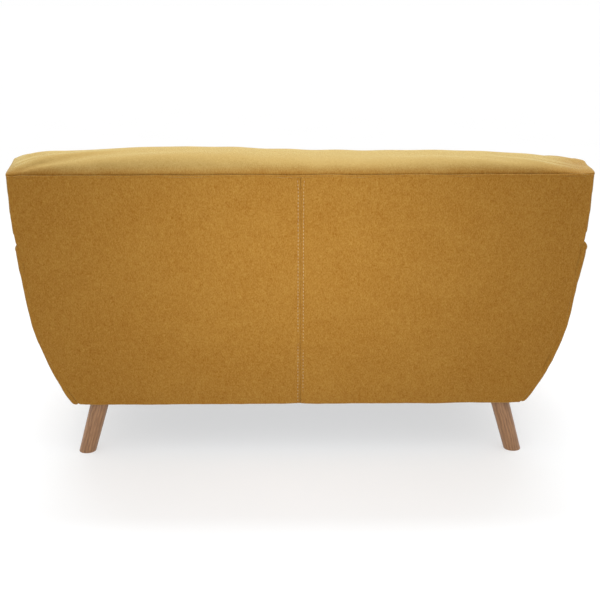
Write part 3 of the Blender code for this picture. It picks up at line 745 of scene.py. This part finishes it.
def crown(x, up, out):
    """Shapes the crown: ends that drop, a hump and a dip, and puckers that fade away from the rear seam."""
    drop = LEFT_END_DROP * np.exp(-(HALF_WIDTH - x) / LEFT_END_REACH)
    drop = drop + RIGHT_END_DROP * np.exp(-(HALF_WIDTH + x) / RIGHT_END_REACH)
    hump = LEFT_HUMP * crest(x, 0.30, 0.20) - RIGHT_DIP * crest(x, -0.14, 0.17)
    uneven = ripple(x, 0 * x, 8, 0.12, 0.0007)
    above = np.maximum(up - BACK_HEIGHT, 0.0)
    up = up + above * np.maximum((hump - drop + uneven) / CROWN_RISE, -0.92)
    sag = RIGHT_SAG * np.exp(-(HALF_WIDTH + x) / 0.22) + LEFT_SAG * np.exp(-(HALF_WIDTH - x) / 0.10)
    up = up - sag * smooth(0.02, 0.11, -out) * smooth(-0.07, 0.0, up - BACK_HEIGHT)
    phase = x / PUCKER_LENGTH + 0.35 * np.sin(x * 9.0) + 0.2 * np.sin(x * 23.0 + 1.0)
    pucker = 0.5 + 0.5 * np.cos(2 * math.pi * phase)
    near_seam = smooth(BACK_HEIGHT - 0.002, BACK_HEIGHT + 0.010, up)
    near_seam = near_seam * (1 - smooth(0.016, 0.040, up - BACK_HEIGHT))
    rear = smooth(-0.075, -0.010, out)
    out = out - PUCKER_DEPTH * near_seam * rear * pucker
    return up, out


def back_buttons(cover):
    """Covered buttons, each a turned dome: radius against height is a quarter ellipse over a short rim. Each
    sits where the cover lies at the bottom of its dimple."""
    x, up, out = from_back(mesh_points(cover.data))
    rings = []
    angle = angles(24)
    for bx, bup in BUTTONS:
        near = (np.hypot(x - bx, up - bup) < BUTTON_RADIUS) & (out < -0.09)
        seat = out[near].mean()
        t = np.linspace(0.0, 1.0, 9)[1:]
        radius = BUTTON_RADIUS * np.concatenate([[0.86, 0.98, 1.0], np.sqrt(1 - (t * 0.985) ** 2)])
        height = np.concatenate([[-0.004, -0.002, 0.0], BUTTON_DOME * t])
        ring_x = bx + radius[:, None] * np.cos(angle)
        ring_up = bup + radius[:, None] * np.sin(angle)
        ring_out = seat - 0.0005 - height[:, None] + 0.0 * angle
        rings.append(on_back(ring_x, ring_up, ring_out))
    many("back_buttons", rings)


# Arms


def arm_side(side, word):
    """The arm's outer side: the bowl's line carried from the front seam to the leaning rear seam.

    The grid runs along by u and up by t. The surface moves along the line's own normal: it rolls in at its
    seams, tapers over the last 60 mm to the rear seam, and ripples.
    """
    u = spread((0.0, 0), (0.03, 9), (0.88, 52), (0.975, 14), (1.0, 14), (1.0, 1))[None, :]
    t = spread((0.0, 0), (0.03, 8), (0.95, 84), (1.0, 12), (1.0, 1))[:, None]
    top = arm_top(ARM_FRONT_Y + 0.004 + u * (back_y(ARM_REAR_TOP) - ARM_FRONT_Y))
    z = BASE_Z - 0.001 + t * (top - 0.004 - BASE_Z)
    front = ARM_FRONT_Y + 0.006
    rear = back_y(z)
    y = front + u * (rear - front)
    from_rear = rear - y
    from_top = top - z
    low_swell = 0.0070 if side > 0 else 0.0022
    drop = rear_taper(from_rear)
    drop = drop + roll(y - front, 0.010) + 0.9 * roll(from_top, 0.014) + 0.6 * roll(z - BASE_Z, 0.010)
    lift = arm_swell(z, side) + low_swell * crest(z, 0.160, 0.055)
    lift = lift + ripple(y, z, 21 + side, 0.15, 0.0008) + ripple(y, z, 23 + side, 0.05, 0.0003)
    drop[:, -1] += TUCK
    drop[-1] += TUCK
    x, z = along_normal(z, lift - drop)
    piece = sheet_piece(f"arm_side_cover_{word}", points_at(side * x, y, z), flip=side < 0)
    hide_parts(f"arm_outer_pad_{word}")


def along_normal(z, offset):
    """The bowl's line at a height, moved along its normal: from the arc's middle, or square to the lean."""
    angle = np.where(z < KNEE_Z, np.arcsin(np.clip((BOWL_Z - z) / BOWL_RADIUS, -1, 1)), SIDE_LEAN)
    return side_x(z) + offset * np.cos(angle), z - offset * np.sin(angle)


def arm_swell(z, side):
    """How far an arm's padding stands out of the bowl's line: more towards its top, and more on the right."""
    return (0.0012 if side > 0 else 0.0055) * smooth(0.42, 0.60, z)


def rear_taper(from_rear):
    """How far a side lies inside its widest line near the rear seam: a rolled edge, then a long ease."""
    return 0.0015 * (1 - smooth(0.0, 0.060, from_rear)) + 0.75 * roll(from_rear, 0.010)


def arm_pad_section(top, taper, side):
    """The arm's top and inner face as a path in x and z: soft corner, crowned top, round inner corner."""
    outer = side_x(top) + arm_swell(top, side) - 0.0052 - taper
    inner = inner_x(top)
    corner = 0.011
    rounding = 0.030
    angle = np.linspace(0.0, 1.0, 9) * math.pi / 2
    tucked = np.linspace(-0.7, math.pi / 2, 13)
    x1 = outer - corner + corner * np.cos(tucked)
    z1 = top - corner + corner * np.sin(tucked)
    flat = np.linspace(0, 1, 14)[1:-1]
    x2 = (outer - corner) + (inner + rounding - outer + corner) * flat
    z2 = top + 0.0045 * np.sin(math.pi * flat)
    x3 = inner + rounding - rounding * np.sin(angle)
    z3 = top - rounding + rounding * np.cos(angle)
    low = DECK_Z - 0.020
    z4 = np.linspace(top - rounding, low, 26)[1:]
    x4 = inner_x(z4) - 0.0015 * np.sin(math.pi * np.linspace(0, 1, 26)[1:])
    x3 = x3 + (inner_x(z3) - inner) * (1 - np.cos(angle))
    return np.concatenate([x1, x2, x3, x4]), np.concatenate([z1, z2, z3, z4])


def arm_pad(side, word):
    """The arm's padded top and inner face: its section carried back, with rolled ends and a soft swell."""
    front = ARM_FRONT_Y + 0.006
    u = spread((0.0, 0), (0.03, 8), (0.93, 56), (1.0, 12))
    sections = []
    for y in front + u * (back_y(ARM_REAR_TOP) - front):
        section = arm_pad_section(arm_top(y) - 0.0008, rear_taper(back_y(arm_top(y)) - y), side)
        sections.append(np.stack(section, axis=-1))
    sections = np.stack(sections)
    x, z = sections[..., 0], sections[..., 1]
    y = front + u[:, None] * (back_y(z, -0.0010) - front)
    run = np.gradient(sections, axis=1)
    run /= np.maximum(np.linalg.norm(run, axis=-1, keepdims=True), 1e-9)
    normal_x, normal_z = -run[..., 1], run[..., 0]
    sign = np.sign((normal_x * (x - 0.68) + normal_z * (z - 0.45)).mean())
    drop = roll(y - front, 0.012) + roll(back_y(z) - y, 0.010)
    lift = 0.0024 + ripple(y, x + z, 41 + side, 0.13, 0.0007) + ripple(y, x + z, 43 + side, 0.045, 0.0003)
    push = sign * (lift - drop)
    grid = points_at(side * (x + push * normal_x), y, z + push * normal_z)
    piece = sheet_piece(f"arm_pad_cover_{word}", grid, flip=side < 0)
    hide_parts(f"arm_top_pad_{word}", f"arm_inner_pad_{word}")


def arm_outline(inset, count=150):
    """The arm's front outline as evenly spaced points: bowl side, rounded top, inner face, level foot."""
    low = BASE_Z + inset
    top = ARM_FRONT_TOP - inset
    z1 = np.linspace(low + 0.008, top - 0.012, 60)
    x1 = side_x(z1, inset)
    turn = np.linspace(0, math.pi / 2, 12)
    x2 = side_x(top - 0.012, inset) - 0.012 + 0.012 * np.cos(turn)
    z2 = top - 0.012 + 0.012 * np.sin(turn)
    r = 0.030 - inset
    x3 = inner_x(top - r) + inset + r - r * np.sin(turn)
    z3 = top - r + r * np.cos(turn)
    z4 = np.linspace(top - r, low + 0.006, 40)
    x4 = inner_x(z4) + inset
    x5 = np.linspace(x4[-1] + 0.004, x1[0] - 0.006, 8)
    z5 = np.full(8, low)
    path = np.stack([np.concatenate([x1, x2, x3, x4, x5]), np.concatenate([z1, z2, z3, z4, z5])], axis=1)
    return evenly(path, count)


def arm_front(side, word):
    """The arm's front facing: rings that shrink to its middle and swell forward, with piping round them."""
    edge = arm_outline(0.0035)
    middle = np.array([0.664, 0.385])
    share = 1 - spread((0.0, 0), (0.10, 10), (0.94, 20), (0.995, 4))
    flat = middle + share[:, None, None] * (edge - middle)
    near = (1 - share)[:, None] * np.linalg.norm(edge - middle, axis=1)
    forward = 0.0015 + 0.0055 * (1 - share[:, None] ** 6) - roll(near, 0.007)
    forward = forward + ripple(flat[..., 0], flat[..., 1], 51 + side, 0.09, 0.0005)
    y = ARM_FRONT_Y + 0.002 - forward
    rings = points_at(side * flat[..., 0], y, flat[..., 1])
    back_ring = rings[:1].copy()
    back_ring[..., 1] = ARM_FRONT_Y + 0.016
    piece = rings_piece(f"arm_facing_cover_{word}", np.concatenate([back_ring, rings]))
    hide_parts(f"arm_front_facing_{word}")
    cord = arm_outline(0.0022, 220)
    piping(f"arm_facing_piping_{word}", points_at(side * cord[:, 0], ARM_FRONT_Y + 0.0045, cord[:, 1]))


# Seat


def front_apron():
    """The padded band under the cushions, from arm to arm: a level sweep with rolled edges."""
    low_z, high_z = BASE_Z + 0.0006, DECK_Z - 0.0006
    across = spread((-1.0, 0), (-0.985, 8), (0.985, 90), (1.0, 8))[None, :]
    up = spread((0.0, 0), (0.08, 8), (0.90, 22), (1.0, 10))[:, None]
    z = low_z + up * (high_z - low_z)
    x = across * (inner_x(z) - 0.0010)
    forward = 0.0035 * smooth(0.0, 0.03, z - low_z) * smooth(0.0, 0.04, high_z - z)
    forward = forward - roll(z - low_z, 0.008) - roll(high_z - z, 0.014) - roll(inner_x(z) - np.abs(x), 0.006)
    forward = forward + ripple(x, z, 71, 0.14, 0.0006)
    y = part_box("front_apron")[0].y - forward
    grid = points_at(x, y, z)
    piece = sheet_piece("front_apron_cover", grid, thickness=0.004)
    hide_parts("front_apron")


def deck_cover():
    """The seat platform under the cushions: cloth over foam, with a seam behind the front edge."""
    low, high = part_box("seat_deck_pad")
    x = spread((-1.0, 0), (-0.985, 6), (0.985, 70), (1.0, 6))[None, :] * (high.x - 0.0005)
    y = spread((low.y, 0), (low.y + 0.02, 8), (high.y - 0.01, 50), (high.y, 4))[:, None]
    z = high.z - 0.0006 - roll(y - low.y, 0.014) - roll(high.x - np.abs(x), 0.006)
    z = z - 0.0035 * crest(y - low.y, 0.115, 0.004) - 0.0007 + ripple(x, y, 81, 0.18, 0.0004) * 0.8
    grid = points_at(x, y, z)
    skirt = grid[:1].copy()
    skirt[..., 2] = low.z + 0.004
    piece = sheet_piece("seat_deck_cover", np.concatenate([skirt, grid]), thickness=0.0014)
    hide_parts("seat_deck_pad")


CUSHION_PULL = 0.006  # how far a cushion's sides pull in between its corners
CUSHION_CROWN = 0.007
LOW_SEAM = 0.016  # the seams' distance from the underside and from the top
HIGH_SEAM = 0.026
CORE_INSET = 0.012


def cushion_outline(low, high, inset, corner, count):
    """A rounded rectangle in x and y whose sides pull in between the corners by a sine's height."""
    turn = np.linspace(0, math.pi / 2, 10)
    corners = [(high.x, high.y, 0), (low.x, high.y, 1), (low.x, low.y, 2), (high.x, low.y, 3)]
    path = []
    for cx, cy, quarter in corners:
        start = quarter * math.pi / 2
        angle = turn + start
        mx = cx - np.sign(math.cos(start + math.pi / 4)) * (corner + inset)
        my = cy - np.sign(math.sin(start + math.pi / 4)) * (corner + inset)
        path.append(np.stack([mx + corner * np.cos(angle), my + corner * np.sin(angle)], axis=1))
    even = evenly(np.concatenate(path), count)
    middle = np.array([(low.x + high.x) / 2, (low.y + high.y) / 2])
    half = np.array([(high.x - low.x) / 2, (high.y - low.y) / 2])
    place = (even - middle) / half
    pull = CUSHION_PULL * np.cos(np.clip(place, -1, 1) * math.pi / 2)[:, ::-1] * np.sign(place)
    return even - pull * smooth(0.7, 1.0, np.abs(place))


def cushion_rings(low, high, inset, around):
    """A boxed cushion's rings: out over its flat underside to the lower seam, up the band, which bows out by
    a sine, and in over a crowned top, whose height falls off with the 3.2th power of the way out."""
    low_seam = low.z + LOW_SEAM
    high_seam = high.z - HIGH_SEAM
    edge = cushion_outline(low, high, 0.0030 + inset, 0.045 - inset, around)
    middle = edge.mean(axis=0)
    rings = []
    for share in spread((0.04, 0), (0.80, 14), (0.98, 8)):
        foot = low.z + 0.0006 + inset + (low_seam - low.z) * smooth(0.90, 1.0, share) * 0.9
        rings.append(ring_at(middle, edge, share, foot))
    for t in np.linspace(0, 1, 14):
        band = low_seam + t * (high_seam - low_seam)
        rings.append(ring_at(middle, edge, 1.0 + 0.006 * math.sin(math.pi * t), band))
    for share in spread((0.985, 0), (0.85, 10), (0.04, 16)):
        dome = high_seam + (high.z + CUSHION_CROWN - inset - high_seam) * (1 - share**3.2) ** 0.8
        rings.append(ring_at(middle, edge, share, dome))
    return np.stack(rings), edge, middle


def seat_cushion(side, word):
    """A loose cushion over its foam core. Its cover is blown up as cloth, with both seams held and piped."""
    body = f"cushion_{word}"
    low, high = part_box(f"seat_cushion_cover_{word}")
    low_seam = low.z + LOW_SEAM
    high_seam = high.z - HIGH_SEAM
    rings, edge, middle = cushion_rings(low, high, 0.0, 240)
    piece = rings_piece(f"seat_cushion_{word}", rings, body=body)
    remeshed(piece, 0.0075, 2)
    simulate(piece, 4.5, 0.010, lambda p: seams_held(p, low.z, low_seam, high_seam))
    reshape(piece, lambda p: cushion_finish(p, low, high, high_seam, side))
    subdivide(piece)
    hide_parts(f"seat_cushion_cover_{word}")
    for seam_z, level in ((low_seam, "lower"), (high_seam, "upper")):
        cord = points_at(*(edge + (edge - middle) * 0.0030).T, seam_z)
        piping(f"seat_cushion_{level}_piping_{word}", cord, body=body)
    core_rings = cushion_rings(low, high, CORE_INSET, 96)[0]
    core = rings_piece(f"seat_cushion_core_{word}", core_rings, body=body, slot="foam")
    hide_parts(f"seat_cushion_foam_{word}")


def seams_held(points, foot, low_seam, high_seam):
    """The points that stay still while a cushion is blown up: both seams and the underside."""
    z = points[:, 2]
    return (np.abs(z - low_seam) < 0.006) | (np.abs(z - high_seam) < 0.006) | (z < foot + 0.006)


def ring_at(middle, edge, share, z):
    """An outline shrunk to a share of its size, at a height."""
    return points_at(*(middle + share * (edge - middle)).T, z)


def cushion_finish(points, low, high, high_seam, side):
    """Keeps a cushion in its place: underside flat on the deck, sides in their box, soft dips on top."""
    x, y, z = points.T.copy()
    band = smooth(high_seam + 0.004, high_seam + 0.03, z)
    middle_x = (low.x + high.x) / 2
    middle_y = (low.y + high.y) / 2
    sit = np.exp(-(((x - middle_x) / 0.20) ** 2) - (((y - middle_y) / 0.18) ** 2))
    z = z - band * 0.003 * sit
    z = z + band * ripple(x, y, 91 + side, 0.17, 0.0012) + band * ripple(x, y, 93 + side, 0.06, 0.0004)
    z = np.maximum(z, low.z + 0.0004)
    near, far = sorted((abs(low.x), abs(high.x)))
    x = np.clip(np.abs(x), near + 0.0005, far + 0.0015) * side
    return points_at(x, np.clip(y, low.y - 0.004, high.y + 0.002), z)


# Underneath


def dust_cover():
    """Thin black cloth stapled under the frame, sagging a little between its edges."""
    low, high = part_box("dust_cover")
    x = np.linspace(low.x + 0.004, high.x - 0.004, 90)[None, :]
    y = np.linspace(low.y + 0.004, high.y - 0.001, 50)[:, None]
    across, along = (x - low.x) / (high.x - low.x), (y - low.y) / (high.y - low.y)
    sag = 0.0022 * np.sin(math.pi * across) * np.sin(math.pi * along)
    z = high.z - 0.0002 - sag + ripple(x, y, 101, 0.20, 0.0003)
    grid = points_at(x, y, z)
    piece = sheet_piece("dust_cover_cloth", grid, thickness=0.0006, slot="dust_cloth")
    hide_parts("dust_cover")
    staples(low, high)


def staples(low, high):
    """Wire staples along the dust cover's hem: each a short round bar whose ends turn up into the rail."""
    t = np.linspace(-1, 1, 9)
    z = low.z - 0.0002 + 0.0035 * smooth(0.86, 1.0, np.abs(t))
    half = 0.0052
    ys, xs = (low.y + 0.012, high.y - 0.011), (low.x + 0.012, high.x - 0.012)
    places = [(x, y, half, 0) for x in np.arange(-0.56, 0.561, 0.056) for y in ys]
    places += [(x, y, 0, half) for y in np.arange(-0.28, 0.21, 0.06) for x in xs]
    rings = [tube(points_at(x + dx * t, y + dy * t, z), 0.00045, 6) for x, y, dx, dy in places]
    many("dust_cover_staples", rings, slot="steel")


# Legs


def leg(end, word):
    """A turned leg cut level at both ends: each level cut of a leaning cone is an ellipse along the lean."""
    name = f"leg_{end}_{word}"
    side = 1 if word == "left" else -1
    low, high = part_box(name)
    corners = mesh_points(frame["nodes"][name].data)
    ends = (corners[corners[:, 2] < low.z + 0.0005], corners[corners[:, 2] > high.z - 0.0005])
    foot, top = ((points.min(axis=0) + points.max(axis=0)) / 2 for points in ends)
    axis = top - foot
    lean = np.hypot(axis[0], axis[1]) / np.linalg.norm(axis)
    stretch = 1 / math.sqrt(1 - lean**2)
    way = axis[:2] / np.hypot(axis[0], axis[1])
    across = np.array([-way[1], way[0]])
    t = spread((0.0, 0), (0.022, 7), (0.985, 60), (1.0, 4))
    height = t * (high.z - low.z)
    radius = 0.0225 + 0.0025 * t - roll(height, 0.0022) * 0.8 - roll((1 - t) * (high.z - low.z), 0.0012)
    angle = angles(56)
    flat = np.cos(angle)[:, None] * way * stretch + np.sin(angle)[:, None] * across
    centre = foot + t[:, None] * axis
    rings = np.zeros((len(t), len(angle), 3))
    rings[..., :2] = centre[:, None, :2] + radius[:, None, None] * flat
    rings[..., 2] = low.z + height[:, None]
    piece = rings_piece(f"turned_{name}", rings, slot="leg_wood")
    grain_space(piece, foot, axis, 3.1 * side + (1.7 if end == "rear" else 0.0))
    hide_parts(name)


def grain_space(piece, foot, axis, shift):
    """Stores each point in the leg's own space, along its axis and from a board's heart beside it."""
    along = axis / np.linalg.norm(axis)
    first = np.cross(along, [0.0, 1.0, 0.0])
    first /= np.linalg.norm(first)
    second = np.cross(along, first)
    rel = mesh_points(piece.data) - foot
    local = np.stack([rel @ first + 0.035, rel @ second + 0.012, rel @ along + shift], axis=1)
    store = piece.data.attributes.new("leg_space", "FLOAT_VECTOR", "POINT")
    store.data.foreach_set("vector", local.astype(np.float32).ravel())


# Radius against height, both as shares of the whole
WASHER_PROFILE = (
    (0.15, 0.0), (0.955, 0.0), (0.99, 0.22), (1.0, 0.5), (0.99, 0.78), (0.955, 1.0), (0.15, 1.0)
)


def leg_plate(end, word):
    """The black washer plate between leg and body, with rounded rims."""
    name = f"leg_plate_{end}_{word}"
    low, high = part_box(name)
    cx, cy = (low.x + high.x) / 2, (low.y + high.y) / 2
    full = (high.x - low.x) / 2
    angle = angles(48)
    rings = []
    for r, h in WASHER_PROFILE:
        z = low.z + h * (high.z - low.z)
        rings.append(points_at(cx + full * r * np.cos(angle), cy + full * r * np.sin(angle), z))
    piece = rings_piece(f"washer_{end}_{word}", np.stack(rings), slot="black_plastic")
    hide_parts(name)


# Frame pieces keep their shape and get their finish


def dress_frame():
    """Gives each frame piece the finish of its slot."""
    slots = {entry["node"]: entry["material_slot"] for entry in frame["record"]["subparts"]}
    for name, node in frame["nodes"].items():
        node.data.materials.clear()
        node.data.materials.append(FINISHES[slots[name]])


# Studio


# Each lamp's name, place, aim, width and height, watts, colour, and spread in degrees
LAMPS = (
    ("flash", (0.0, 2.05, 0.80), (0.0, 0.35, 0.57), (0.5, 0.35), 1.8, (0.92, 1.0, 1.12), 50.0),
    ("overhead", (0.0, -0.5, 2.5), (0.0, 0.3, 0.85), (3.4, 0.6), 21.0, (0.88, 1.0, 1.10), 90.0),
    ("front_fill", (0.6, -2.8, 1.7), (0.0, 0.0, 0.5), (1.6, 1.2), 14.0, (1.0, 0.98, 0.95), 180.0),
)
WHITE = (1.0, 1.0, 1.0, 1.0)
FLOOR_REACH = 14.0
FLOOR_DROP = 0.0002
FLOOR_GLOW = 0.55


def area_light(name, place, aim, size, power, colour, spread_degrees):
    """A rectangular lamp that points along its -Z at its aim."""
    light = bpy.data.lights.new(name, "AREA")
    light.shape = "RECTANGLE"
    light.size, light.size_y = size
    light.energy = power
    light.color = colour
    light.spread = math.radians(spread_degrees)
    lamp = placed(name, light)
    lamp.location = place
    direction = np.array(aim, float) - np.array(place, float)
    lamp.rotation_euler = Vector(direction).to_track_quat("-Z", "Y").to_euler()


def studio():
    """A pale floor that glows a little, white surroundings and three lamps."""
    x, y = np.meshgrid(np.linspace(-1, 1, 3), np.linspace(-1, 1, 3))
    points = points_at(x * FLOOR_REACH, y * FLOOR_REACH, -FLOOR_DROP)
    mesh = bpy.data.meshes.new("studio_floor")
    mesh.from_pydata(points.reshape(-1, 3).tolist(), [], quads(3, 3).tolist())
    pale = Finish("pale_floor", 0.75, Specular_IOR_Level=0.1, Emission_Color=WHITE,
                  Emission_Strength=FLOOR_GLOW)
    grain = pale.noise(pale.place(), 3.0, 2.0)
    pale.join("Base Color", pale.blend(grain, (0.42, 0.42, 0.42), (0.45, 0.45, 0.45)))
    mesh.materials.append(pale.material)
    placed("studio_floor", mesh)
    world = bpy.data.worlds.new("studio")
    world.use_nodes = True
    background = world.node_tree.nodes["Background"]
    background.inputs[0].default_value = WHITE
    background.inputs[1].default_value = 1.0
    bpy.context.scene.world = world
    for lamp in LAMPS:
        area_light(*lamp)
    bpy.context.scene.view_settings.view_transform = "Standard"


CAMERA_PLACE = (0.0481, 3.7802, 1.5226)
CAMERA_YAW = math.radians(-0.771)
CAMERA_PITCH = math.radians(17.129)
CAMERA_ROLL = math.radians(-0.015)
CAMERA_LENS = 81.53  # both in millimetres
SENSOR_WIDTH = 36.0


def camera():
    """The camera behind the sofa, a little above it."""
    data = bpy.data.cameras.new("camera")
    data.sensor_width = SENSOR_WIDTH
    data.lens = CAMERA_LENS
    data.clip_end = 100.0
    shot = placed("camera", data)
    shot.location = CAMERA_PLACE
    shot.rotation_euler = (math.radians(90.0) - CAMERA_PITCH, 0.0, math.radians(180.0) + CAMERA_YAW)
    shot.rotation_euler.rotate_axis("Z", CAMERA_ROLL)
    bpy.context.scene.camera = shot


# One finish for each slot, and one for the thread
FINISHES = {
    "cover_fabric": woven_cover("mustard_velvet", (0.210, 0.070, 0.0004), (0.362, 0.193, 0.0370)),
    "thread": thread_finish(),
    "leg_wood": leg_finish(),
    "timber": sawn_timber("sawn_pine", (0.46, 0.29, 0.14), (0.66, 0.47, 0.27)),
    "plywood": sawn_timber("birch_ply", (0.40, 0.26, 0.14), (0.62, 0.45, 0.27), layers=0.003),
    "foam": speckled("seat_foam", (0.72, 0.62, 0.38), (0.86, 0.79, 0.56), 900.0, 0.9, depth=0.0008),
    "steel": speckled("spring_steel", (0.40, 0.40, 0.41), (0.60, 0.60, 0.62), 300.0, 0.35, 0.95, 0.0001),
    "webbing": plain_weave("elastic_web", (0.030, 0.028, 0.026), (0.085, 0.075, 0.065), 0.0030),
    "dust_cloth": plain_weave("black_lining", (0.008, 0.008, 0.009), (0.026, 0.026, 0.028), 0.0014, 0.95),
    "black_plastic": speckled("moulded_black", (0.010, 0.010, 0.010), (0.020, 0.020, 0.020), 1200.0, 0.5),
}


def main():
    camera()
    studio()
    dress_frame()
    for side, word in ((1, "left"), (-1, "right")):
        outside_back(side, word)
        arm_side(side, word)
        arm_pad(side, word)
        arm_front(side, word)
        seat_cushion(side, word)
        for end in ("front", "rear"):
            leg(end, word)
            leg_plate(end, word)
    middle_topstitch()
    top_welt()
    back_buttons(inside_back())
    front_apron()
    deck_cover()
    dust_cover()


main()

import json
